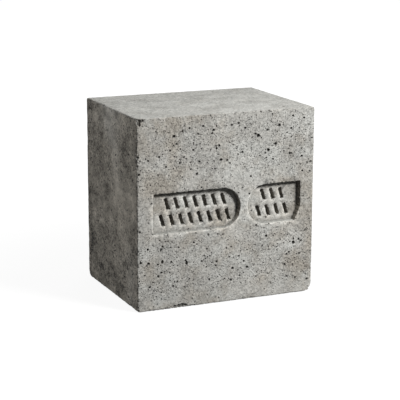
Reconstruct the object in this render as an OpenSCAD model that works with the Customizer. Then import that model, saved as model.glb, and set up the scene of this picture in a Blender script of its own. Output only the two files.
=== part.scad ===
// Cast concrete base block. The front face has two sunk panels side by side,
// and the panel floors carry rows of short sunk strokes.
// X runs along the front face to the right, Y runs from front to back and Z is
// up. The origin is at the middle of the bed, so the block stands on Z = 0.

/* [Block] */
// Width of the front face
block_width = 200; // [176:1:300]
// Depth from the front face to the back face
block_depth = 150; // [60:1:250]
// Height from the bed to the top
block_height = 200; // [140:1:300]

/* [Rounded edges] */
// Upright edges: front left, front right, back right, back left
plan_radii = [1.5, 2.5, 10, 4]; // [0.5:0.5:15]
// Edges that run front to back: bottom left, bottom right, top right, top left
front_radii = [3, 10.5, 3.5, 2]; // [0.5:0.5:15]
// Edges that run left to right: bottom front, bottom back, top back, top front
side_radii = [2, 9, 4.5, 1]; // [0.5:0.5:15]

/* [Sunk panels] */
// Height of both panels
panel_height = 43; // [34:0.5:60]
// Height of the panels' lower edge above the bed
panel_base = 79.5; // [15:0.5:80]
// Depth of the panel floors below the front face
panel_depth = 6; // [2:0.5:12]
// Width of the left panel, with its round end
left_panel_width = 98; // [60:0.5:118]
// Width of the right panel, with its round end
right_panel_width = 61.5; // [45:0.5:80]
// Strip of front face between the two round ends
panel_gap = 8; // [3:0.5:10]
// Distance of the pair of panels to the right of the block's middle
panel_offset = 0.75; // [-1.5:0.25:1.5]
// Radius of the round ends, at the strip between the panels
round_end_radius = 21; // [5:0.5:21]
// Radius of the outer corners
panel_corner_radius = 1.5; // [0.5:0.5:3]
// Width of the slanted cut at the right panel's lower outer corner
slant_width = 6.5; // [3.5:0.5:6.5]
// Height of the slanted cut at the right panel's lower outer corner
slant_height = 15; // [7:0.5:20]

/* [Strokes] */
// Width of a stroke
stroke_width = 4.4; // [2:0.1:5]
// Length of a stroke from end to end
stroke_length = 13.5; // [6:0.5:14.5]
// Depth of a stroke below the panel floor
stroke_depth = 3.8; // [0.5:0.1:5]
// Radius of a stroke's corners
stroke_corner_radius = 0.8; // [0.2:0.1:0.9]
// Lean of a stroke from upright, to the left at its top
stroke_lean = 17; // [0:1:25]
// Distance between neighbouring strokes in a row
stroke_pitch = 10.5; // [7:0.25:14]
// Height between the two rows, middle to middle
row_spacing = 17; // [15:0.5:18]
// Clear end of the panel floor on each side of the longer row
row_end_margin = 12; // [12:0.5:16]

/* [Hidden] */

$fn = 64;
overcut = 1;
concrete_colour = [0.63, 0.62, 0.59];

panels_width = left_panel_width + panel_gap + right_panel_width;
left_panel_x = panel_offset - panels_width / 2;
right_panel_x = left_panel_x + left_panel_width + panel_gap;
round_radius = min(round_end_radius, panel_height / 2 - 0.5);
left_panel_radii = [panel_corner_radius, round_radius, round_radius, panel_corner_radius];
right_panel_radii = [round_radius, panel_corner_radius, panel_corner_radius, round_radius];
stroke_radii = [for (corner = [0 : 3]) stroke_corner_radius];

// What a rounding takes off a square corner that lies at the origin, with the
// material towards +X and +Y.
module corner_waste(radius) {
    difference() {
        translate([-overcut, -overcut]) square(radius + overcut);
        translate([radius, radius]) circle(radius);
    }
}

// Rectangle from the origin with a radius for each corner: lower left, lower
// right, upper right and upper left.
module rounded_outline(width, height, radii) {
    difference() {
        square([width, height]);
        corner_waste(radii[0]);
        translate([width, 0]) mirror([1, 0]) corner_waste(radii[1]);
        translate([width, height]) rotate(180) corner_waste(radii[2]);
        translate([0, height]) mirror([0, 1]) corner_waste(radii[3]);
    }
}

// The block without its panels: what the plan, the front outline and the side
// outline have in common.
module plain_block() {
    intersection() {
        translate([-block_width / 2, -block_depth / 2, 0])
            linear_extrude(block_height)
                rounded_outline(block_width, block_depth, plan_radii);
        translate([-block_width / 2, block_depth / 2, 0])
            rotate([90, 0, 0])
                linear_extrude(block_depth)
                    rounded_outline(block_width, block_height, front_radii);
        translate([-block_width / 2, -block_depth / 2, 0])
            rotate([90, 0, 90])
                linear_extrude(block_width)
                    rounded_outline(block_depth, block_height, side_radii);
    }
}

// Stands its flat children up in the front face, and sinks them from the face
// to the given depth. Flat X stays X and flat Y becomes Z.
module sink_into_front(depth) {
    translate([0, depth - block_depth / 2, 0])
        rotate([90, 0, 0])
            linear_extrude(depth + overcut)
                children();
}

// One stroke about the origin: a straight bar that leans to the left.
module stroke() {
    rotate(stroke_lean)
        translate([-stroke_width / 2, -stroke_length / 2])
            rounded_outline(stroke_width, stroke_length, stroke_radii);
}

// Two rows of strokes for a panel of the given width, about the panel's lower
// left corner. The upper row has one stroke less and sits half a step across.
module stroke_rows(width) {
    steps = floor((width - 2 * row_end_margin) / stroke_pitch);
    first_x = (width - steps * stroke_pitch) / 2;
    for (row = [0, 1])
        for (i = [0 : steps - row])
            translate([
                first_x + (i + row / 2) * stroke_pitch,
                panel_height / 2 + (row - 0.5) * row_spacing
            ])
                stroke();
}

// Outline of the left panel, from its lower left corner.
module left_outline() {
    rounded_outline(left_panel_width, panel_height, left_panel_radii);
}

// Outline of the right panel, from its lower left corner: its lower right corner
// is cut off at a slant.
module right_outline() {
    difference() {
        rounded_outline(right_panel_width, panel_height, right_panel_radii);
        translate([right_panel_width, 0])
            polygon([
                [0, slant_height],
                [-slant_width, 0],
                [-slant_width, -overcut],
                [overcut, -overcut],
                [overcut, slant_height]
            ]);
    }
}

// One sunk panel with its strokes, as the shape that is taken out of the block.
// The panel's outline is its flat child.
module panel_sinking(panel_x, width) {
    sink_into_front(panel_depth) translate([panel_x, panel_base]) children();
    sink_into_front(panel_depth + stroke_depth)
        translate([panel_x, panel_base]) stroke_rows(width);
}

module concrete_block() {
    color(concrete_colour)
        difference() {
            plain_block();
            panel_sinking(left_panel_x, left_panel_width) left_outline();
            panel_sinking(right_panel_x, right_panel_width) right_outline();
        }
}

concrete_block();
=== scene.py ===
"""The looks of a cast concrete base block, laid out as an add-on and run as a script."""

import math

import bpy
import numpy as np
from bpy.props import FloatProperty, FloatVectorProperty, IntProperty, PointerProperty
from bpy.types import Operator, Panel, PropertyGroup
from mathutils import Matrix, Vector


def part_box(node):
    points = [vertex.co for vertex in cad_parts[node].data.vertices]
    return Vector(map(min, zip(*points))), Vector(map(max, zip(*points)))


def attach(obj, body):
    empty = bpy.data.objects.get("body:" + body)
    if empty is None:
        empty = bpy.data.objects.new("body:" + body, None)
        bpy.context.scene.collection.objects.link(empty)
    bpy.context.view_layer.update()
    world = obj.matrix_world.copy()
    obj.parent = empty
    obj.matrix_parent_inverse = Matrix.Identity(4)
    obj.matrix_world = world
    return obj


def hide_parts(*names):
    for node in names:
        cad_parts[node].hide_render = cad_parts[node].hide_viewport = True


bl_info = {
    "name": "Cast Concrete Base Block",
    "version": (1, 0, 0),
    "blender": (4, 5, 0),
    "location": "3D View > Sidebar > Base Block",
    "description": "Builds the worn surface of a cast concrete base block in a plain studio",
    "category": "Object",
}

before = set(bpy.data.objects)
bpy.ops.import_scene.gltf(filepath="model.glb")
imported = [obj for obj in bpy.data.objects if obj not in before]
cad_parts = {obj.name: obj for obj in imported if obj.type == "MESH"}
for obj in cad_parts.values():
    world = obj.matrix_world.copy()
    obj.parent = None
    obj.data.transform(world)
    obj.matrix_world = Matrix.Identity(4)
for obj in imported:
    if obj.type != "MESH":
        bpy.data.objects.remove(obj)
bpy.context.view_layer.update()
BLOCK_LOW, BLOCK_HIGH = (np.array(corner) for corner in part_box("concrete_block"))
MM = 0.001

# A point that is this near to the plane of a face belongs to it.
ON_FACE = 1e-6

# The power that bends the sand grains' even random tones, and their mean after it.
GRAIN_BEND = 0.55
GRAIN_MEAN = 1 / (1 + GRAIN_BEND)

# The values that the mesh carries at its points for the material: painted shade of the holes
# and chips, painted shade of the lips, porosity, tone with painted light and shade, and warmth.
POINT_VALUES = ("hollow", "grime", "pores", "tone", "warmth")

# The largest air holes of the front face, in millimetres: across from the left edge, up
# from the bed, width, height and depth.
LARGE_HOLES = (
    (134, 174, 4.0, 3.6, 2.8), (131, 176, 2.8, 2.2, 2.2), (146, 158, 3.2, 3.0, 2.6),
    (92, 152, 3.2, 3.0, 2.6), (158, 183, 3.0, 2.8, 2.4), (154, 164, 3.0, 2.8, 2.4),
    (177, 56, 3.2, 4.2, 2.6), (177, 60, 1.6, 3.0, 1.8), (54, 47, 2.8, 4.0, 2.6),
    (53, 50, 1.8, 2.6, 2.0), (27, 51, 2.2, 4.0, 2.2), (40, 180, 3.2, 2.8, 2.4),
    (123, 35, 3.0, 3.0, 2.4), (12, 51, 2.8, 2.6, 2.2), (194, 14, 2.8, 2.6, 2.2),
)

# Smaller air holes of the front face that still stand out: across and up.
SMALL_HOLES = (
    (57, 187), (72, 188), (104, 187), (119, 183), (172, 179), (174, 192), (187, 189),
    (82, 180), (43, 172), (90, 167), (87, 164), (24, 160), (12, 157), (116, 158),
    (68, 152), (99, 151), (37, 50), (71, 47), (88, 45), (13, 26), (62, 68), (133, 79),
    (147, 85), (172, 46), (169, 44), (167, 33), (119, 42), (180, 17), (26, 40), (39, 24),
)
# Width, height and depth of each of them.
SMALL_HOLE = (2.3, 2.2, 1.9)

# Soft patches of the front face: across from the left edge and up from the bed in
# millimetres, radius, change of tone, warmth and porosity.
FRONT_PATCHES = (
    (118, 144, 19, 0.12, -1.0, -0.3), (122, 122, 12, 0.08, -0.8, -0.4),
    (60, 128, 12, 0.14, -0.5, -0.3), (150, 136, 16, 0.06, 0.0, -0.5),
    (182, 142, 18, -0.11, 0.2, -0.4), (108, 74, 14, 0.14, -0.2, -0.6),
    (140, 14, 20, 0.11, -0.3, -0.3), (165, 60, 13, 0.13, 0.2, 0.3),
    (28, 58, 14, -0.18, 0.2, 0.5), (5, 40, 11, 0.14, -0.4, 0.0),
    (50, 40, 16, -0.07, -0.3, 0.4), (24, 26, 16, -0.06, -0.6, 0.0),
    (108, 48, 14, 0.10, -0.8, 0.0), (62, 70, 10, 0.0, -1.0, 0.0),
    (32, 126, 14, -0.05, 1.2, -0.1), (8, 140, 24, 0.08, 0.9, 0.0),
    (14, 182, 22, 0.07, 1.3, -0.7), (48, 186, 20, 0.0, 0.8, -0.1),
    (30, 146, 12, 0.0, 0.3, 0.5), (70, 160, 14, 0.0, -0.2, 0.4),
    (118, 176, 18, -0.08, -0.1, 0.4), (38, 160, 11, 0.09, 0.0, 0.3),
    (176, 186, 16, -0.07, -0.7, -0.4), (150, 164, 30, -0.03, -0.5, 0.0),
    (196, 84, 18, -0.14, 1.4, -0.3), (196, 40, 22, -0.04, 1.4, 0.0),
    (40, 14, 16, -0.10, -0.6, 0.1),
)

# The same for the left face: back from its front edge and up from the bed.
LEFT_PATCHES = (
    (80, 190, 24, 0.42, -1.2, -0.7), (68, 160, 17, 0.52, -0.8, -0.7),
    (58, 126, 18, 0.42, -0.2, -0.5), (50, 92, 16, 0.38, 0.2, 0.2),
    (38, 62, 18, 0.38, 0.2, 0.3), (22, 38, 18, 0.34, -0.6, 0.1),
    (18, 8, 14, 0.10, -0.6, 0.0), (28, 168, 12, -0.18, 0.0, 0.4),
    (112, 150, 22, -0.16, 0.3, 0.2), (150, 186, 16, -0.66, 0.0, 0.0),
    (150, 146, 24, -0.40, 0.0, 0.2), (150, 104, 24, -0.46, 0.2, 0.2),
    (150, 66, 20, -0.36, 0.4, 0.2), (146, 30, 24, -0.44, 0.2, 0.0),
    (84, 20, 30, -0.26, 0.2, 0.2), (94, 62, 18, -0.12, 0.6, 0.2),
    (6, 86, 14, -0.20, 0.0, 0.2),
)

# The scattered air holes, large and small: the size of a cell of their grid, the share of
# cells that hold one where the concrete is most porous, least and greatest radius, seed.
SCATTERED_HOLES = (
    (0.0048, 0.30, 0.0009, 0.0015, 41),
    (0.0024, 0.34, 0.0005, 0.0009, 46),
)

# The two porous bands, as shares of the height: start, fade in, end and fade out.
POROUS_BANDS = (
    (0.60, 0.08, 1.02, 0.10),
    (0.04, 0.08, 0.42, 0.08),
)

# The finest air specks, painted as dark spots of painted shade with a dip: spacing, size in its
# own cell, share of cells where the concrete is dense and where it is porous, and strength.
SPECK_LAYERS = (
    (0.00420, 0.19, 0.05, 0.75, 1.00),
    (0.00231, 0.26, 0.10, 0.70, 0.75),
    (0.00126, 0.36, 0.20, 0.60, 0.45),
)

# The blotches of the sides: size, detail, stretch, shift and strength of each layer.
BLOTCH_LAYERS = (
    (0.0065, 2.0, (1, 0.5, 0.9), 8.0, 1.0),
    (0.014, 3.0, (1, 0.6, 0.8), 5.0, 1.2),
    (0.030, 2.0, (1, 0.8, 0.7), 6.0, 0.6),
)

# Painted light and shade over each kind of face, as a change of tone: at its middle, for each
# millimetre from there to the right, back or up, and along a side's edges.
FRONT_TONE = {"middle": 0.01, "right": 0.0001, "up": -0.0006}
TOP_TONE = {"back": -0.0006}
SIDE_TONE = {"middle": -0.02, "up": 0.0006, "edge": -0.35}

# Painted shade at the lips: its reach from a panel's lip and from a stroke's, then its strength,
# place and spread at the foot of the lit walls. A painted highlight's width and strength on the
# lit lips.
SHADE_REACH = (0.0036, 0.0060)
FOOT_SHADE = 0.55
FOOT_PLACE = 0.0012
FOOT_SPREAD = 0.0008
HIGHLIGHT_WIDTH = 0.0005
HIGHLIGHT_TONE = 0.70

# Nicks in the edges: how far in they reach, their size, the height of the noise that
# leaves an edge whole, the width of an edge's band, and the depth on a well rounded edge,
# on the most worn ones and on the others.
NICK_REACH = 0.0022
NICK_SIZE = 0.0024
NICK_FLOOR = 0.12
EDGE_BAND = 0.004
NICK_DEPTHS = (0.0006, 0.0045, 0.0030)

# Lamps: azimuth from the front and elevation in degrees, distance from the block's
# middle, width and power.
LAMPS = {
    "key_lamp": (29, 33.5, 1.15, 0.23, 13.8),
    "top_lamp": (180, 86.82, 1.803, 1.0, 4.35),
    "left_lamp": (-115, 20, 2.0, 1.0, 7.2),
    "rear_lamp": (150, 15, 2.0, 1.2, 12.0),
}

# Half the floor's width.
FLOOR_HALF = 12

# The depth at which a hole's painted shade is full. How dark the painted shade of a deep chip
# is, the depth at which it starts to darken and how much deeper it is when it is that dark.
HOLE_DARK_DEPTH = 0.0008
CHIP_DARK = 0.9
CHIP_DARK_START = 0.0004
CHIP_DARK_SPREAD = 0.0012

# Chips along the edges, in millimetres: the point that was knocked off, as across, back
# and up from the front lower left corner, then the radius, of which this share bites.
CHIP_BITE = 0.75
EDGE_CHIPS = (
    (0, 0, 5, 2.6), (0, 0, 12, 2.2), (0, 0, 28, 2.0), (0, 0, 60, 1.8),
    (0, 0, 118, 1.6), (0, 0, 141, 1.8), (0, 0, 152, 2.2), (0, 0, 161, 2.6),
    (0, 0, 179, 1.6), (1, 0, 196, 3.4), (3, 1, 197, 3.0), (6, 0, 198, 2.8),
    (3, 0, 194, 2.0), (0, 136, 199, 2.4), (41, 0, 2, 2.4), (45, 0, 2, 3.2),
    (49, 0, 2, 3.4), (53, 0, 2, 2.4), (136, 0, 199, 1.9), (146, 0, 199, 1.8),
    (151, 0, 199, 1.5), (0, 96, 200, 3.0), (118, 150, 200, 3.4), (200, 60, 0, 4.0),
)


# ---- settings

def length(text, default):
    """A length setting in metres."""
    return FloatProperty(description=text, default=default, unit="LENGTH")


def lengths(text, default):
    """A setting of several lengths in metres."""
    size = len(default)
    return FloatVectorProperty(description=text, default=default, size=size, unit="LENGTH")


def colour(text, default):
    """A linear colour setting."""
    return FloatVectorProperty(
        description=text, default=default, size=3, subtype="COLOR", min=0, max=1
    )


def number(text, default):
    """A plain number setting."""
    return FloatProperty(description=text, default=default, min=0, max=10)


def angle(text, degrees):
    """An angle setting."""
    return FloatProperty(description=text, default=math.radians(degrees), subtype="ANGLE")


class BlockShape(PropertyGroup):
    """Sizes of the block's surface."""

    spacing: length("Distance between the front face's points", 0.00045)
    side_spacing: length("Distance between points from front to back", 0.0008)
    triangle_limit: IntProperty(description="Triangles after thinning", default=190000, min=1000)
    plan_radii: lengths(
        "Upright edges: front left, front right, back right and back left",
        (0.0015, 0.0025, 0.010, 0.004),
    )
    front_radii: lengths(
        "Edges from front to back: bottom left, bottom right, top right and top left",
        (0.003, 0.0105, 0.0035, 0.002),
    )
    side_radii: lengths(
        "Edges from left to right: bottom front, bottom back, top back and top front",
        (0.002, 0.009, 0.0045, 0.001),
    )
    wear: length("How far worn spots widen an edge's rounding", 0.0005)
    worn_corner: length("Extra rounding of the top front left corner", 0.0055)
    swell: length("How far the faces dip between their high spots", 0.0003)
    panel_height: length("Height of both sunk panels", 0.043)
    panel_base: length("Height of the panels above the bed", 0.0795)
    panel_depth: length("Depth of the panel floors", 0.006)
    left_panel_width: length("Width of the left panel", 0.098)
    right_panel_width: length("Width of the right panel", 0.0615)
    panel_gap: length("Strip of face between the panels", 0.008)
    panel_offset: length("Panels' distance to the right of the middle", 0.00075)
    round_end: length("Radius of the panels' round ends", 0.021)
    slant_width: length("Width of the right panel's slanted corner", 0.0065)
    slant_height: length("Height of the right panel's slanted corner", 0.015)
    panel_corner: length("Radius of the other outer corners", 0.0015)
    lip_radius: length("Rounding of the panels' and strokes' lips", 0.0006)
    wall_slope: number("Fall of a panel wall for each step inward", 8)
    stroke_width: length("Width of a stroke", 0.0044)
    stroke_length: length("Length of a stroke from end to end", 0.0135)
    stroke_depth: length("Depth of a stroke below the panel floor", 0.0038)
    stroke_corner: length("Radius of a stroke's corners", 0.0008)
    stroke_lean: angle("Lean of a stroke, to the left at its top", 17)
    stroke_pitch: length("Distance between neighbouring strokes", 0.0105)
    row_spacing: length("Height between the two rows", 0.017)
    row_end_margin: length("Clear floor at the ends of the longer row", 0.012)


class ConcreteLook(PropertyGroup):
    """Colours and grain of the concrete."""

    grey: colour("The concrete's own grey", (0.457, 0.447, 0.416))
    beige: colour("Warm darker patches", (0.436, 0.405, 0.353))
    pale: colour("Cool lighter patches", (0.480, 0.479, 0.451))
    grain: length("Size of a sand grain", 0.0012)
    grain_contrast: number("Spread of the sand grains' tones", 0.56)
    clump_contrast: number("Spread of tone between clumps of grains", 0.95)
    cloud_contrast: number("Spread of tone between broad patches", 0.34)
    blotch_contrast: number("Spread of tone of the sides' blotches", 1.45)
    patch_warmth: number("How far the soft patches turn warm or cool", 0.12)
    grain_relief: length("Height of the sand grains", 0.00036)
    # An air speck's darkness is painted shade.
    speck_dark: number("How much darker an air speck is", 0.85)
    # Painted shade inside the holes and chips.
    hole_shade_dark: number("How much darker a hole is inside", 0.85)
    # Painted shade along the lips that face away from the key lamp and at the foot of the
    # others.
    lip_shade_dark: number("How much darker the dirt in the panels is", 0.68)


class StudioSetup(PropertyGroup):
    """Camera, lamps and floor."""

    aim: lengths("The point the camera looks at", (0.0012, -0.0023, 0.0933))
    distance: length("From the camera to the point it looks at", 1.4919)
    azimuth: angle("Camera's turn to the left of the front face", 24.09)
    elevation: angle("Camera's height above the horizon", 13.28)
    roll: angle("Camera's turn about its own axis", -0.2)
    lens: FloatProperty(description="Focal length", default=124.7, unit="CAMERA")
    sky: number("Brightness of the surroundings as a light", 0.06)
    floor_dull: number("Share of light that the floor throws back", 0.12)
    floor_shade: number("How strongly the floor shows a shadow", 0.12)
    floor_glow: number("The floor's own brightness near the object", 0.92)
    floor_fade: lengths("Where the glow starts and stops growing", (0.15, 0.5))


# ---- noise

def hashed(cell, seed):
    """Numbers from 0 to 1 that look random, one for each whole-number cell: the cell's
    three indices and the seed are multiplied by large odd numbers and their bits mixed."""
    ix, iy, iz = (cell[:, k].astype(np.int64).astype(np.uint32) for k in range(3))
    h = ix * np.uint32(374761393) + iy * np.uint32(668265263) + iz * np.uint32(2246822519)
    h = h + np.uint32(seed * 40503 + 977)
    h = (h ^ (h >> np.uint32(15))) * np.uint32(2654435761)
    h = (h ^ (h >> np.uint32(13))) * np.uint32(3266489917)
    h = h ^ (h >> np.uint32(16))
    return h.astype(np.float64) / 4294967296.0


def smooth_noise(points, size, seed):
    """Smooth noise from -1 to 1 with features of the given size: random values at the
    corners of a cubic grid, blended with the curve 3t^2 - 2t^3."""
    place = points / size
    cell = np.floor(place)
    t = place - cell
    t = t * t * (3 - 2 * t)
    total = np.zeros(len(points))
    for corner in np.ndindex(2, 2, 2):
        step = np.array(corner)
        weight = np.prod(np.where(step, t, 1 - t), axis=1)
        total += weight * hashed(cell + step, seed)
    return 2 * total - 1


def layered_noise(points, size, seed, layers=3):
    """Noise of several sizes added up, each layer half as large and half as strong."""
    total = np.zeros(len(points))
    for layer in range(layers):
        total += smooth_noise(points, size / 2 ** layer, seed + layer) / 2 ** layer
    return total / (2 - 2 ** (1 - layers))


def ease(t):
    """0 below 0, 1 above 1 and the curve 3t^2 - 2t^3 between."""
    t = np.clip(t, 0, 1)
    return t * t * (3 - 2 * t)


# ---- the block's points

def box_lattice(low, high, spacing):
    """Points and outward quads over the six faces of a box. Each face is a grid of two
    parameters, and points on shared edges are one point."""
    counts = np.round((high - low) / np.array(spacing)).astype(np.int64)
    stride = np.array([1, counts[0] + 1, (counts[0] + 1) * (counts[1] + 1)])
    quads = []
    for axis in range(3):
        u_axis, v_axis = (axis + 1) % 3, (axis + 2) % 3
        u = np.arange(counts[u_axis])[:, None] * stride[u_axis]
        v = np.arange(counts[v_axis])[None, :] * stride[v_axis]
        step_u, step_v = stride[u_axis], stride[v_axis]
        for end in (0, 1):
            first = (u + v + end * counts[axis] * stride[axis]).ravel()
            ring = [first, first + step_u, first + step_u + step_v, first + step_v]
            quads.append(np.stack(ring if end else ring[::-1], axis=1))
    keys, faces = np.unique(np.concatenate(quads), return_inverse=True)
    faces = faces.reshape(-1, 4)
    across, back = keys % stride[1], keys // stride[1] % (counts[1] + 1)
    index = np.stack([across, back, keys // stride[2]], axis=1)
    return low + (high - low) * index / counts, faces


def round_corners(a, b, low, high, radii):
    """Rounds the corners of a rectangle in the plane of a and b. In the square of a
    corner, squares about the arc's centre become quarter circles about it. The corners
    are low-low, high-low, high-high and low-high, and a radius may vary by point."""
    for (side_a, side_b), radius in zip(((-1, -1), (1, -1), (1, 1), (-1, 1)), radii):
        centre_a = (high[0] if side_a > 0 else low[0]) - side_a * radius
        centre_b = (high[1] if side_b > 0 else low[1]) - side_b * radius
        out_a, out_b = (a - centre_a) * side_a, (b - centre_b) * side_b
        inside = (out_a > 0) & (out_b > 0)
        reach = np.maximum(out_a, out_b) / np.maximum(np.hypot(out_a, out_b), 1e-12)
        a = np.where(inside, centre_a + side_a * out_a * reach, a)
        b = np.where(inside, centre_b + side_b * out_b * reach, b)
    return a, b


def round_block(points, low, high, shape):
    """Rounds the twelve edges: the plan, then the front outline, then the side outline.
    Worn spots widen the rounding, and the front left edge's grows towards its top."""
    worn = shape.wear * np.clip(layered_noise(points, 0.006, 11, 3) * 2.2 + 0.1, -0.6, 2.0)
    place = list(points.T.copy())
    pairs = (("plan_radii", 0, 1), ("front_radii", 0, 2), ("side_radii", 1, 2))
    for name, first, second in pairs:
        radii = [np.maximum(radius + worn, 0.0004) for radius in getattr(shape, name)]
        if name == "plan_radii":
            to_top = (high[2] - points[:, 2]) / shape.worn_corner
            radii[0] = radii[0] + shape.worn_corner * ease(1 - to_top)
        place[first], place[second] = round_corners(
            place[first], place[second], low[[first, second]], high[[first, second]], radii
        )
    return np.stack(place, axis=1)


def point_normals(points, faces):
    """Outward unit normals at the points: the sum of the faces' cross products."""
    corner = points[faces]
    normal = np.cross(corner[:, 2] - corner[:, 0], corner[:, 3] - corner[:, 1])
    total = np.stack(
        [
            sum(np.bincount(faces[:, k], normal[:, axis], len(points)) for k in range(4))
            for axis in range(3)
        ],
        axis=1,
    )
    return total / np.maximum(np.linalg.norm(total, axis=1, keepdims=True), 1e-20)


# ---- sunk panels

def outline_distance(x, z, left, base, width, height, radii):
    """Distance to a rectangle's outline, negative inside. The radii are those of the
    lower left, lower right, upper right and upper left corners."""
    from_x, from_z = x - left - width / 2, z - base - height / 2
    lower = np.where(from_x < 0, radii[0], radii[1])
    upper = np.where(from_x < 0, radii[3], radii[2])
    radius = np.where(from_z < 0, lower, upper)
    out_x, out_z = np.abs(from_x) - width / 2 + radius, np.abs(from_z) - height / 2 + radius
    outside = np.hypot(np.maximum(out_x, 0), np.maximum(out_z, 0))
    return outside + np.minimum(np.maximum(out_x, out_z), 0) - radius


def panel_list(shape):
    """Left edge, width and corner radii of the two panels."""
    total = shape.left_panel_width + shape.panel_gap + shape.right_panel_width
    left = shape.panel_offset - total / 2
    right = left + shape.left_panel_width + shape.panel_gap
    corner, end = shape.panel_corner, shape.round_end
    return (
        (left, shape.left_panel_width, (corner, end, end, corner)),
        (right, shape.right_panel_width, (end, corner, corner, end)),
    )


def stroke_distance(x, z, left, width, shape):
    """Distance to the nearest stroke's outline, negative inside. In each row the stroke
    is found by rounding, and its outline is a rectangle in the stroke's own turned
    directions."""
    steps = math.floor((width - 2 * shape.row_end_margin) / shape.stroke_pitch + 1e-6)
    first = left + (width - steps * shape.stroke_pitch) / 2
    sine, cosine = math.sin(shape.stroke_lean), math.cos(shape.stroke_lean)
    wide, tall = shape.stroke_width, shape.stroke_length
    corners = (shape.stroke_corner,) * 4
    nearest = np.full(len(x), np.inf)
    for row in (0, 1):
        height = shape.panel_base + shape.panel_height / 2 + (row - 0.5) * shape.row_spacing
        start = first + row / 2 * shape.stroke_pitch
        up = z - height
        upright_x = x - start + up * sine / cosine
        number = np.clip(np.round(upright_x / shape.stroke_pitch), 0, steps - row)
        across = x - start - number * shape.stroke_pitch
        own_x = across * cosine + up * sine
        own_z = up * cosine - across * sine
        gap = outline_distance(own_x, own_z, -wide / 2, -tall / 2, wide, tall, corners)
        nearest = np.minimum(nearest, gap)
    return nearest


def ragged(points):
    """How far the lips of the panels and strokes wander to each side."""
    return 0.0007 * layered_noise(points, 0.0026, 31, 3)


def slant_distance(x, z, shape):
    """Distance to the slanted line that cuts off the right panel's lower outer corner,
    negative on the panel's side."""
    left, width = panel_list(shape)[1][:2]
    from_x = (x - left - width + shape.slant_width) * shape.slant_height
    from_z = (z - shape.panel_base) * shape.slant_width
    return (from_x - from_z) / math.hypot(shape.slant_width, shape.slant_height)


def lip_distances(points, shape):
    """For each panel, the distances to its lip and to its strokes' lips."""
    x, z = points[:, 0], points[:, 2]
    wander = ragged(points)
    pairs = []
    for place, (left, width, radii) in enumerate(panel_list(shape)):
        gap = outline_distance(x, z, left, shape.panel_base, width, shape.panel_height, radii)
        if place == 1:
            gap = np.maximum(gap, slant_distance(x, z, shape))
        pairs.append((gap - wander, stroke_distance(x, z, left, width, shape) - wander))
    return pairs


def pull_to_lips(points, shape):
    """Moves the points nearest to a lip onto it along the distance's slope, so that the
    lips run cleanly across the grid."""
    def nearest(place):
        """The distance that is nearest to nought among all the lips."""
        all_gaps = np.stack([gap for pair in lip_distances(place, shape) for gap in pair])
        chosen = np.argmin(np.abs(all_gaps), axis=0)
        return np.take_along_axis(all_gaps, chosen[None], axis=0)[0]

    gap = nearest(points)
    step = 0.00002
    slope_x = (nearest(points + [step, 0, 0]) - gap) / step
    slope_z = (nearest(points + [0, 0, step]) - gap) / step
    near = (np.abs(gap) < 0.5 * shape.spacing) & (np.hypot(slope_x, slope_z) < 1.6)
    reach = np.where(near, gap / np.maximum(slope_x ** 2 + slope_z ** 2, 0.5), 0)
    moved = points.copy()
    moved[:, 0] -= reach * slope_x
    moved[:, 2] -= reach * slope_z
    return moved


def wall_profile(inset, floor, shape):
    """How deep a panel or stroke is at a distance inside its lip: a rounded lip that is a
    quarter circle, then a steep straight wall, down to its floor."""
    radius = shape.lip_radius
    bend = radius - np.sqrt(radius ** 2 - np.clip(inset, 0, radius) ** 2)
    wall = shape.wall_slope * np.maximum(inset - 0.8 * radius, 0)
    return np.minimum(bend + wall, floor)


def sunk_depth(points, shape):
    """How deep the panels and their strokes sink each point of the front face."""
    depth = np.zeros(len(points))
    for panel, strokes in lip_distances(points, shape):
        cut = np.where(panel < 0, wall_profile(-strokes, shape.stroke_depth, shape), 0)
        depth += wall_profile(-panel, shape.panel_depth, shape) + cut
    return depth


def lip_shading(points, shape):
    """Painted shade and painted highlights along the lips, each from 0 to 1. Painted shade lies
    on the walls that face down and left, away from the key lamp, and on the floor beside them:
    full at the lip, gone at its reach. The other lips get a painted highlight, with a little
    painted shade at the foot of their walls."""
    step = 0.00005
    here = lip_distances(points, shape)
    beside = lip_distances(points + [step, 0, 0], shape)
    above = lip_distances(points + [0, 0, step], shape)
    grime = np.zeros(len(points))
    painted_highlight = np.zeros(len(points))
    for panel in range(len(here)):
        for lip, reach in enumerate(SHADE_REACH):
            gap = here[panel][lip]
            slope_x = (beside[panel][lip] - gap) / step
            slope_z = (above[panel][lip] - gap) / step
            shaded_lip = ease((0.6 * slope_x + 0.8 * slope_z + 0.1) / 0.8)
            spread = np.where(gap < 0, ease((gap + reach) / (0.6 * reach)), 0)
            foot = FOOT_SHADE * (1 - shaded_lip) * np.exp(-((gap + FOOT_PLACE) / FOOT_SPREAD) ** 2)
            grime = np.maximum(grime, np.maximum(shaded_lip * spread, foot))
            # A painted highlight along the lips that face the key lamp.
            painted_highlight = np.maximum(painted_highlight, (1 - shaded_lip) * np.exp(-(gap / HIGHLIGHT_WIDTH) ** 2))
    return grime, painted_highlight


def painted_broad_shading(points, low, high):
    """Broad painted light and shade, as changes of tone that are a share of the concrete's own:
    the front pales to the right and a little downward, the top pales to the front, and the sides
    pale upward and are darker along their edges."""
    x, y, z = ((points - (low + high) / 2) / MM).T
    front = points[:, 1] < low[1] + ON_FACE
    top = points[:, 2] > high[2] - ON_FACE
    to_edge = np.sort(np.minimum(points - low, high - points), axis=1)[:, 1]
    edges = ease(1 - to_edge / 0.0035)
    sides = SIDE_TONE["up"] * z + SIDE_TONE["middle"] + SIDE_TONE["edge"] * edges
    across = FRONT_TONE["right"] * x + FRONT_TONE["up"] * z + FRONT_TONE["middle"]
    return np.where(front, across, np.where(top, TOP_TONE["back"] * y, sides))


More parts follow.
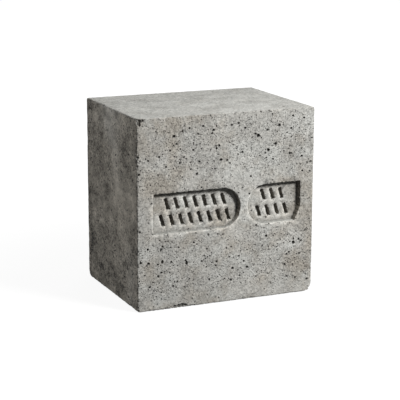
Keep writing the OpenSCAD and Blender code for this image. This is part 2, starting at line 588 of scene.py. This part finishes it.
def soft_patches(points, low, axis, patches):
    """A face's soft patches added up: change of tone, warmth and porosity. Each patch is
    strongest in its middle and fades out round it like a bell, with an uneven outline."""
    bend = 0.009 * np.stack([smooth_noise(points, 0.020, seed) for seed in (91, 92)])
    along = (points[:, axis] - low[axis] + bend[0]) / MM
    z = (points[:, 2] - low[2] + bend[1]) / MM
    sums = np.zeros((3, len(points)))
    for across, up, radius, *amounts in patches:
        bell = np.exp(-((along - across) ** 2 + (z - up) ** 2) / radius ** 2)
        sums += np.outer(amounts, bell)
    return sums


# ---- holes and chips

def ball_exit(from_centre, inward, radius):
    """How far each point inside a ball has to go inward to leave it, or 0 outside."""
    along = -np.sum(from_centre * inward, axis=1)
    under_root = along ** 2 - np.sum(from_centre ** 2, axis=1) + radius ** 2
    inside = np.sum(from_centre ** 2, axis=1) < radius ** 2
    return np.where(inside, along + np.sqrt(np.maximum(under_root, 0)), 0)


def scattered_holes(points, inward, cell, share, small, large, seed):
    """Depth of air holes that are balls scattered in space, one in some of the cells of
    a cubic grid. No ball is wider than a cell, so two cells in each direction can reach
    a point. The share of cells that hold a ball may vary by point."""
    depth = np.zeros(len(points))
    home = np.floor(points / cell - 0.5)
    for step in np.ndindex(2, 2, 2):
        near = home + np.array(step)
        present = hashed(near, seed + 4) < share
        chosen = near[present]
        centre = np.stack([hashed(chosen, seed + k) for k in range(3)], axis=1)
        centre = (chosen + centre) * cell
        radius = small + (large - small) * hashed(chosen, seed + 3) ** 1.5
        reach = ball_exit(points[present] - centre, inward[present], radius)
        depth[present] = np.maximum(depth[present], reach)
    return depth


def pore_share(points, low, high):
    """How porous the surface is, from 0 to 1: most in two wide level bands, least on the
    top, and in clouds everywhere."""
    height = (points[:, 2] - low[2]) / (high[2] - low[2])
    bands = [
        ease((height - start) / fade_in) * ease((end - height) / fade_out)
        for start, fade_in, end, fade_out in POROUS_BANDS
    ]
    clouds = 0.5 + 0.5 * layered_noise(points, 0.030, 81, 2)
    pores = (0.30 + 0.70 * np.max(bands, axis=0)) * (0.45 + 0.9 * clouds)
    return np.clip(np.where(height > 0.9999, 0.12 * pores, pores), 0, 1)


def large_holes(points, low):
    """Depth of the front face's chosen air holes: half ellipsoids open to the front."""
    depth = np.zeros(len(points))
    wobble = 1 + 0.25 * smooth_noise(points, 0.0012, 51)
    smaller = tuple(place + SMALL_HOLE for place in SMALL_HOLES)
    for across, up, width, height, deep in LARGE_HOLES + smaller:
        x = (points[:, 0] - low[0] - across * MM) / (width / 2 * MM)
        z = (points[:, 2] - low[2] - up * MM) / (height / 2 * MM)
        inside = np.clip(1 - (x ** 2 + z ** 2) * wobble, 0, 1)
        depth = np.maximum(depth, deep * MM * np.sqrt(inside))
    return depth


def chip_depth(points, inward, low):
    """Depth of the chips at the edges: balls that bite into an edge, with a rough wall."""
    depth = np.zeros(len(points))
    rough = 0.0008 * layered_noise(points, 0.0022, 61, 2)
    for across, back, up, radius in EDGE_CHIPS:
        centre = low + np.array([across, back, up]) * MM
        bite = np.maximum(radius * MM * CHIP_BITE + rough, 0)
        depth = np.maximum(depth, ball_exit(points - centre, inward, bite))
    return depth


def edge_nicks(points, low, high):
    """Depth of the small nicks that make the edges ragged: only the high parts of a fine
    noise, fading out away from the edge. The front left and front lower edges are the
    most worn, and the three well rounded edges the least."""
    to_side = np.sort(np.minimum(points - low, high - points), axis=1)
    near_edge = np.clip(1 - to_side[:, 1] / NICK_REACH, 0, 1)
    bite = np.clip(layered_noise(points, NICK_SIZE, 71, 3) - NICK_FLOOR, 0, 1)
    to_left, to_front, to_bed = (points - low).T
    to_right, to_back, _ = (high - points).T
    worn = np.maximum(np.minimum(to_left, to_bed), to_front) < EDGE_BAND
    pairs = ((to_right, to_bed), (to_back, to_bed), (to_right, to_back))
    to_rounded = np.min([np.maximum(one, other) for one, other in pairs], axis=0)
    least, most, others = NICK_DEPTHS
    depth = np.where(to_rounded < EDGE_BAND, least, np.where(worn, most, others))
    return depth * bite * near_edge


# ---- mesh helpers

def mesh_object(name, points, faces):
    """A mesh object at the origin from arrays of points and quads."""
    mesh = bpy.data.meshes.new(name)
    mesh.vertices.add(len(points))
    mesh.vertices.foreach_set("co", points.astype(np.float32).ravel())
    mesh.loops.add(faces.size)
    mesh.loops.foreach_set("vertex_index", faces.astype(np.int32).ravel())
    mesh.polygons.add(len(faces))
    mesh.polygons.foreach_set("loop_start", np.arange(0, faces.size, 4, dtype=np.int32))
    mesh.update(calc_edges=True)
    piece = bpy.data.objects.new(name, mesh)
    bpy.context.scene.collection.objects.link(piece)
    return piece


def thin_out(piece, limit):
    """Thins a mesh of quads to a number of triangles, keeping its detail, and applies it."""
    triangles = 2 * len(piece.data.polygons)
    if triangles > limit:
        modifier = piece.modifiers.new("Thin out", "DECIMATE")
        modifier.ratio = limit / triangles
        modifier.use_collapse_triangulate = True
    graph = bpy.context.evaluated_depsgraph_get()
    thinned = bpy.data.meshes.new_from_object(piece.evaluated_get(graph))
    old = piece.data
    piece.modifiers.clear()
    piece.data = thinned
    bpy.data.meshes.remove(old)
    thinned.name = piece.name


def six_side_map(mesh, low, high):
    """Lays the surface out flat as six islands, one for each side of the box: a face
    belongs to the side whose plane it is nearest to, and drops straight onto it."""
    corner_total = len(mesh.loops)
    point_index = np.zeros(corner_total, np.int32)
    mesh.loops.foreach_get("vertex_index", point_index)
    place = np.zeros(len(mesh.vertices) * 3, np.float32)
    mesh.vertices.foreach_get("co", place)
    corner = place.reshape(-1, 3)[point_index].astype(float).reshape(-1, 3, 3)
    middle = corner.mean(axis=1)
    normal = np.cross(corner[:, 1] - corner[:, 0], corner[:, 2] - corner[:, 0])
    normal /= np.maximum(np.linalg.norm(normal, axis=1, keepdims=True), 1e-20)
    to_side = np.concatenate([middle - low, high - middle], axis=1)
    side = np.argmin(to_side - 0.002 * np.concatenate([-normal, normal], axis=1), axis=1)
    size = high - low
    gap = 0.004
    wide, deep, tall = size
    sheet = 2 * wide + deep + 4 * gap
    row_two = tall + 2 * gap
    # For each side: the axes that run across and up, and where its island starts.
    islands = {
        1: (0, 2, gap, gap),
        4: (0, 2, wide + 2 * gap, gap),
        0: (1, 2, gap, row_two),
        3: (1, 2, deep + 2 * gap, row_two),
        2: (1, 0, 2 * wide + 3 * gap, gap),
        5: (1, 0, 2 * deep + 3 * gap, row_two),
    }
    uv = np.zeros((len(corner), 3, 2))
    for number, (u_axis, v_axis, left, base) in islands.items():
        chosen = side == number
        uv[chosen, :, 0] = corner[chosen][:, :, u_axis] - low[u_axis] + left
        uv[chosen, :, 1] = corner[chosen][:, :, v_axis] - low[v_axis] + base
    layer = mesh.uv_layers.new(name="OFBake")
    layer.data.foreach_set("uv", (uv / sheet).astype(np.float32).ravel())


# ---- materials

def wire(tree, kind, inputs=None, **settings):
    """Adds a shader node with its settings, and gives each input a value or another
    node's output."""
    node = tree.nodes.new("ShaderNode" + kind)
    for name, value in settings.items():
        setattr(node, name, value)
    for socket, value in (inputs or {}).items():
        if isinstance(value, bpy.types.NodeSocket):
            tree.links.new(value, node.inputs[socket])
        else:
            node.inputs[socket].default_value = value
    return node


def maths(tree, operation, first, second=0.0, clamp=False):
    """The output of a maths node."""
    inputs = {0: first, 1: second}
    return wire(tree, "Math", inputs, operation=operation, use_clamp=clamp).outputs[0]


def remap(tree, value, low, high, to_low=0.0, to_high=1.0):
    """A value moved smoothly from one range to another and held at its ends."""
    inputs = {"Value": value, "From Min": low, "From Max": high}
    inputs.update({"To Min": to_low, "To Max": to_high})
    node = wire(tree, "MapRange", inputs, interpolation_type="SMOOTHSTEP")
    return node.outputs["Result"]


def empty_tree(data):
    """The node tree of a new material or world, with no nodes in it."""
    data.use_nodes = True
    data.node_tree.nodes.clear()
    return data.node_tree


def even_grey(value):
    """A colour whose three parts are the same."""
    return (value, value, value, 1)


def shared_group(name, inputs, outputs):
    """A new shader group with named inputs and outputs, which are numbers except for the
    vector. It returns the tree with its input and output nodes."""
    tree = bpy.data.node_groups.new(name, "ShaderNodeTree")
    for way, sockets in (("INPUT", inputs), ("OUTPUT", outputs)):
        for socket in sockets:
            kind = "NodeSocketVector" if socket == "Vector" else "NodeSocketFloat"
            tree.interface.new_socket(socket, in_out=way, socket_type=kind)
    return tree, tree.nodes.new("NodeGroupInput"), tree.nodes.new("NodeGroupOutput")


def sand_grain_group():
    """Sand grains: each cell of a fine cell pattern is one grain with its own tone. Most
    grains are pale and a few are dark, so the even random number is bent by a power."""
    names = ("Vector", "Density")
    tree, given, result = shared_group("Sand Grain", names, ("Tone", "Height"))
    vector, density = (given.outputs[name] for name in names)
    cells = wire(tree, "TexVoronoi", {"Vector": vector, "Scale": density})
    parts = wire(tree, "SeparateColor", {"Color": cells.outputs["Color"]}).outputs
    coarser = maths(tree, "MULTIPLY", density, 0.6)
    rough = wire(tree, "TexNoise", {"Vector": vector, "Scale": coarser, "Detail": 3.0})
    tone = maths(tree, "POWER", parts[0], GRAIN_BEND)
    tree.links.new(tone, result.inputs["Tone"])
    tree.links.new(rough.outputs[0], result.inputs["Height"])
    return tree


def air_speck_group():
    """Fine air specks: a round spot in some of the cells of a cell pattern, the mask of their
    painted shade and dip.
    """
    names = ("Vector", "Density", "Share", "Size")
    tree, given, result = shared_group("Air Specks", names, ("Mask",))
    vector, density, share, size = (given.outputs[name] for name in names)
    cells = wire(tree, "TexVoronoi", {"Vector": vector, "Scale": density})
    parts = wire(tree, "SeparateColor", {"Color": cells.outputs["Color"]}).outputs
    present = maths(tree, "LESS_THAN", parts[0], share)
    radius = maths(tree, "MULTIPLY", size, maths(tree, "ADD", parts[1], 0.4))
    inside = maths(tree, "DIVIDE", cells.outputs["Distance"], radius)
    spot = maths(tree, "SUBTRACT", 1.0, inside, clamp=True)
    soft = maths(tree, "MULTIPLY", spot, 2.5, clamp=True)
    tree.links.new(maths(tree, "MULTIPLY", soft, present), result.inputs["Mask"])
    return tree


def concrete_material(look):
    """Cast concrete: grey with beige and pale grey patches, sand grains, air specks with painted
    shade, blotches on the sides, painted shade in the holes, chips and shaded lips, and painted
    highlights on the lit lips. The top is smoother than the sides."""
    material = bpy.data.materials.new("cast_concrete")
    tree = empty_tree(material)
    place = wire(tree, "TexCoord").outputs["Object"]

    def noise(size, detail=2.0, stretch=(1, 1, 1), shift=0.0):
        """Noise from 0 to 1 with features of about the given size in metres."""
        scale = tuple(value / size for value in stretch)
        shifts = (shift, shift * 2, shift * 3)
        moved = wire(tree, "Mapping", {"Vector": place, "Scale": scale, "Location": shifts})
        inputs = {"Vector": moved.outputs[0], "Scale": 1.0, "Detail": detail}
        return wire(tree, "TexNoise", inputs).outputs[0]

    def carried(name):
        """A value that the mesh carries at its points."""
        return wire(tree, "Attribute", attribute_name=name).outputs["Fac"]

    def blend(factor, first, second):
        """A mix of two colours."""
        inputs = {"Factor": factor, 6: first, 7: second}
        return wire(tree, "Mix", inputs, data_type="RGBA").outputs[2]

    def times(first, second):
        """The product of two values."""
        return maths(tree, "MULTIPLY", first, second)

    def push(value, middle, strength):
        """A pattern's push on lightness: its distance from its middle, times strength."""
        return times(maths(tree, "SUBTRACT", value, middle), strength)

    def total(values):
        """The sum of several values."""
        result = values[0]
        for value in values[1:]:
            result = maths(tree, "ADD", result, value)
        return result

    normal = wire(tree, "NewGeometry").outputs["Normal"]
    facing = wire(tree, "SeparateXYZ", {"Vector": normal}).outputs
    top = remap(tree, facing[2], 0.6, 0.9)
    side = remap(tree, maths(tree, "ABSOLUTE", facing[0]), 0.7, 0.95)
    left = remap(tree, times(facing[0], -1.0), 0.7, 0.95)
    not_side = maths(tree, "SUBTRACT", 1.0, side)
    hollow, grime, pores, tone, warmth = (carried(name) for name in POINT_VALUES)

    grains = {"Vector": place, "Density": 1 / look.grain}
    grain = wire(tree, "Group", grains, node_tree=sand_grain_group()).outputs
    speck_tree = air_speck_group()
    speck = 0.0
    for spacing, size, few, many, strength in SPECK_LAYERS:
        share = remap(tree, pores, 0.0, 1.0, few, many)
        inputs = {"Vector": place, "Density": 1 / spacing, "Share": share, "Size": size}
        mask = wire(tree, "Group", inputs, node_tree=speck_tree).outputs["Mask"]
        speck = maths(tree, "MAXIMUM", speck, times(mask, strength))
    speck = times(speck, remap(tree, top, 0.0, 1.0, 1.0, 0.2))

    drift = times(warmth, look.patch_warmth)
    warm = maths(tree, "ADD", noise(0.026, 3.0, shift=3.1), drift)
    warm = remap(tree, warm, 0.38, 0.74)
    cool = maths(tree, "SUBTRACT", noise(0.020, 3.0, shift=7.7), drift)
    cool = times(remap(tree, cool, 0.38, 0.74), not_side)
    side_warm = maths(tree, "ADD", 1.0, times(warmth, 0.6), clamp=True)
    warmer = maths(tree, "MAXIMUM", warm, times(side, side_warm))
    paler = maths(tree, "MAXIMUM", cool, times(top, 0.75))
    tint = blend(warmer, (*look.grey, 1), (*look.beige, 1))
    tint = blend(paler, tint, (*look.pale, 1))

    fine = total([
        push(grain["Tone"], GRAIN_MEAN, look.grain_contrast),
        push(noise(0.0030, shift=2.0), 0.5, look.clump_contrast),
    ])
    rougher = times(left, remap(tree, pores, 0.10, 0.50, 0.0, 0.8))
    fine = times(fine, maths(tree, "ADD", rougher, 1.0))
    broad = total([
        push(noise(0.040), 0.5, look.cloud_contrast),
        push(noise(0.014, shift=9.0), 0.5, look.cloud_contrast),
    ])
    blotches = total([
        push(noise(*layer), 0.5, strength * look.blotch_contrast)
        for *layer, strength in BLOTCH_LAYERS
    ])
    blotches = times(blotches, times(side, remap(tree, left, 0.0, 1.0, 0.4, 1.0)))
    patches = times(total([push(cool, 0.33, 0.12), push(warm, 0.33, -0.12)]), not_side)
    lightness = total([1.0, fine, broad, tone, patches, blotches])
    # Painted shade: darker in the air specks, in the holes and chips, and along the lips.
    for mask, dark in (
        (speck, look.speck_dark),
        (hollow, look.hole_shade_dark),
        (grime, look.lip_shade_dark),
    ):
        lightness = times(lightness, maths(tree, "SUBTRACT", 1.0, times(mask, dark)))
    base = wire(tree, "VectorMath", {0: tint, "Scale": lightness}, operation="SCALE")

    bumps = times(noise(0.0042, shift=4.0), 1.5)
    height = total([grain["Height"], bumps, times(speck, -3.0)])
    reliefs = {"Height": height, "Distance": look.grain_relief, "Strength": 1.0}
    shader = wire(
        tree,
        "BsdfPrincipled",
        {
            "Base Color": base.outputs[0],
            "Roughness": remap(tree, grain["Tone"], 0.2, 0.8, 0.86, 0.97),
            "Specular IOR Level": 0.25,
            "Normal": wire(tree, "Bump", reliefs).outputs[0],
        },
    )
    wire(tree, "OutputMaterial", {"Surface": shader.outputs[0]})
    return material


def seen_or_not(tree, unseen, seen):
    """One shader for the rays that show a thing to the camera, also by mirroring or
    through glass, and another for all the rest."""
    paths = wire(tree, "LightPath").outputs
    others = maths(tree, "MAXIMUM", paths["Is Glossy Ray"], paths["Is Transmission Ray"])
    shown = maths(tree, "MAXIMUM", paths["Is Camera Ray"], others)
    inputs = {0: shown, 1: unseen.outputs[0], 2: seen.outputs[0]}
    return wire(tree, "MixShader", inputs).outputs[0]


def floor_material(setup):
    """A floor that looks white, with a faint shadow around the object that fades out to
    plain white. For the light that it throws back it is a dull grey."""
    material = bpy.data.materials.new("pale_floor")
    tree = empty_tree(material)
    dull = wire(tree, "BsdfDiffuse", {"Color": even_grey(setup.floor_dull)})
    shade = wire(tree, "BsdfDiffuse", {"Color": even_grey(setup.floor_shade)})
    place = wire(tree, "TexCoord").outputs["Object"]
    away = wire(tree, "VectorMath", {0: place}, operation="LENGTH").outputs["Value"]
    strength = remap(tree, away, *setup.floor_fade, setup.floor_glow, 1.0)
    glow = wire(tree, "Emission", {"Color": even_grey(1), "Strength": strength})
    bright = wire(tree, "AddShader", {0: shade.outputs[0], 1: glow.outputs[0]})
    wire(tree, "OutputMaterial", {"Surface": seen_or_not(tree, dull, bright)})
    return material


def surroundings(setup):
    """A dim even sky that looks white."""
    world = bpy.data.worlds.new("surroundings")
    tree = empty_tree(world)
    dim = wire(tree, "Background", {"Color": even_grey(setup.sky)})
    white = wire(tree, "Background", {"Color": even_grey(1)})
    wire(tree, "OutputWorld", {"Surface": seen_or_not(tree, dim, white)})
    return world


# ---- operators

class BASEBLOCK_OT_block(Operator):
    """Build the block's worn surface with its panels, holes and chips"""

    bl_idname = "base_block.block"
    bl_label = "Concrete Block"

    def execute(self, context):
        """Makes one closed mesh that stands for the CAD block."""
        shape = context.scene.block_shape
        low, high = BLOCK_LOW, BLOCK_HIGH
        spacing = (shape.spacing, shape.side_spacing, shape.spacing)
        flat, faces = box_lattice(low, high, spacing)
        front = flat[:, 1] < low[1] + ON_FACE
        flat[front] = pull_to_lips(flat[front], shape)
        points = round_block(flat, low, high, shape)
        inward = -point_normals(points, faces)

        dips = shape.swell * (0.5 + 0.5 * layered_noise(flat, 0.055, 21, 3))
        sunk = np.zeros(len(points))
        sunk[front] = sunk_depth(flat[front], shape)
        pores = pore_share(flat, low, high)
        warmth = np.zeros(len(points))
        # The tone starts with broad painted light and shade, then takes the soft patches.
        tone = painted_broad_shading(flat, low, high)
        left = (flat[:, 0] < low[0] + ON_FACE) & ~front
        for face, axis, patches in ((front, 0, FRONT_PATCHES), (left, 1, LEFT_PATCHES)):
            paler, warmth[face], porous = soft_patches(flat[face], low, axis, patches)
            tone[face] += paler
            pores[face] = np.clip(pores[face] * (1 + porous), 0, 1)
        holes = np.zeros(len(points))
        for cell, share, least, most, seed in SCATTERED_HOLES:
            some = scattered_holes(points, inward, cell, share * pores, least, most, seed)
            holes = np.maximum(holes, some)
        holes[front] = np.maximum(holes[front], large_holes(flat[front], low))
        holes = np.where(sunk > 0.0002, 0.5 * holes, holes)
        nicks = edge_nicks(flat, low, high)
        chips = np.maximum(chip_depth(points, inward, low), nicks)
        depth = dips + sunk + np.maximum(holes, chips)
        points = points + inward * depth[:, None]
        # Painted shade in the deep chips and in the holes.
        chip_shade = CHIP_DARK * ease((chips - CHIP_DARK_START) / CHIP_DARK_SPREAD)
        hollow = np.maximum(np.clip(holes / HOLE_DARK_DEPTH, 0, 1), chip_shade)
        # Painted shade along the lips, and painted highlights added to the tone.
        grime = np.zeros(len(points))
        grime[front], painted_highlight = lip_shading(flat[front], shape)
        tone[front] += HIGHLIGHT_TONE * painted_highlight

        piece = mesh_object("cast_block", points, faces)
        for name, values in zip(POINT_VALUES, (hollow, grime, pores, tone, warmth)):
            layer = piece.data.attributes.new(name, "FLOAT", "POINT")
            layer.data.foreach_set("value", values.astype(np.float32))
        thin_out(piece, shape.triangle_limit)
        six_side_map(piece.data, low, high)
        piece.data.shade_smooth()
        piece.data.set_sharp_from_angle(angle=math.radians(32))
        piece.data.materials.append(concrete_material(context.scene.concrete_look))
        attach(piece, "root")
        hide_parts("concrete_block")
        return {"FINISHED"}


def add_lamp(name, place, aim, width, power):
    """A square area lamp that faces a point."""
    data = bpy.data.lights.new(name, "AREA")
    data.shape = "SQUARE"
    data.size = width
    data.energy = power
    lamp = bpy.data.objects.new(name, data)
    lamp.location = place
    lamp.rotation_mode = "QUATERNION"
    lamp.rotation_quaternion = (aim - place).to_track_quat("-Z", "Y")
    bpy.context.scene.collection.objects.link(lamp)
    return lamp


def direction(azimuth, elevation):
    """Unit vector towards a place seen from the block: azimuth from the front face's
    outward normal, to the right, and elevation above the horizon, in degrees."""
    a, e = math.radians(azimuth), math.radians(elevation)
    return Vector((math.sin(a) * math.cos(e), -math.cos(a) * math.cos(e), math.sin(e)))


class BASEBLOCK_OT_stage(Operator):
    """Set the plain floor, the lamps, the surroundings and the camera"""

    bl_idname = "base_block.stage"
    bl_label = "Studio"

    def execute(self, context):
        """Makes everything that isn't part of the object."""
        scene = context.scene
        setup = scene.studio_setup
        corners = np.array([[-1, -1, 0], [1, -1, 0], [1, 1, 0], [-1, 1, 0]])
        floor = mesh_object("floor", FLOOR_HALF * corners, np.array([[0, 1, 2, 3]]))
        floor.data.materials.append(floor_material(setup))

        middle = Vector((0, 0, 0.1))
        for name, (azimuth, elevation, distance, width, power) in LAMPS.items():
            place = middle + direction(azimuth, elevation) * distance
            add_lamp(name, place, middle, width, power)
        scene.world = surroundings(setup)

        data = bpy.data.cameras.new("camera")
        data.sensor_width = 36
        data.lens = setup.lens
        camera = bpy.data.objects.new("camera", data)
        scene.collection.objects.link(camera)
        back = direction(-math.degrees(setup.azimuth), math.degrees(setup.elevation))
        camera.location = Vector(setup.aim) + back * setup.distance
        turn = back.to_track_quat("Z", "Y").to_matrix() @ Matrix.Rotation(-setup.roll, 3, "Z")
        camera.rotation_mode = "QUATERNION"
        camera.rotation_quaternion = turn.to_quaternion()
        scene.camera = camera
        scene.view_settings.view_transform = "Standard"
        return {"FINISHED"}


class BASEBLOCK_PT_panel(Panel):
    """Lists the block's pieces and settings"""

    bl_idname = "BASEBLOCK_PT_panel"
    bl_label = "Base Block"
    bl_space_type = "VIEW_3D"
    bl_region_type = "UI"
    bl_category = "Base Block"

    def draw(self, context):
        """One button for each operator, then every setting."""
        layout = self.layout
        layout.operator(BASEBLOCK_OT_block.bl_idname)
        layout.operator(BASEBLOCK_OT_stage.bl_idname)
        for group in ("block_shape", "concrete_look", "studio_setup"):
            settings = getattr(context.scene, group)
            box = layout.box()
            for name in settings.__annotations__:
                box.prop(settings, name, text=name.replace("_", " ").capitalize())


CLASSES = (
    BlockShape,
    ConcreteLook,
    StudioSetup,
    BASEBLOCK_OT_block,
    BASEBLOCK_OT_stage,
    BASEBLOCK_PT_panel,
)


def register():
    """Registers the classes and hangs the settings on the scene."""
    for item in CLASSES:
        bpy.utils.register_class(item)
    bpy.types.Scene.block_shape = PointerProperty(type=BlockShape)
    bpy.types.Scene.concrete_look = PointerProperty(type=ConcreteLook)
    bpy.types.Scene.studio_setup = PointerProperty(type=StudioSetup)


def unregister():
    """Takes the settings and classes away again."""
    del bpy.types.Scene.studio_setup
    del bpy.types.Scene.concrete_look
    del bpy.types.Scene.block_shape
    for item in reversed(CLASSES):
        bpy.utils.unregister_class(item)


def main():
    """Builds everything in order."""
    register()
    bpy.ops.base_block.stage()
    bpy.ops.base_block.block()


if __name__ == "__main__":
    main()
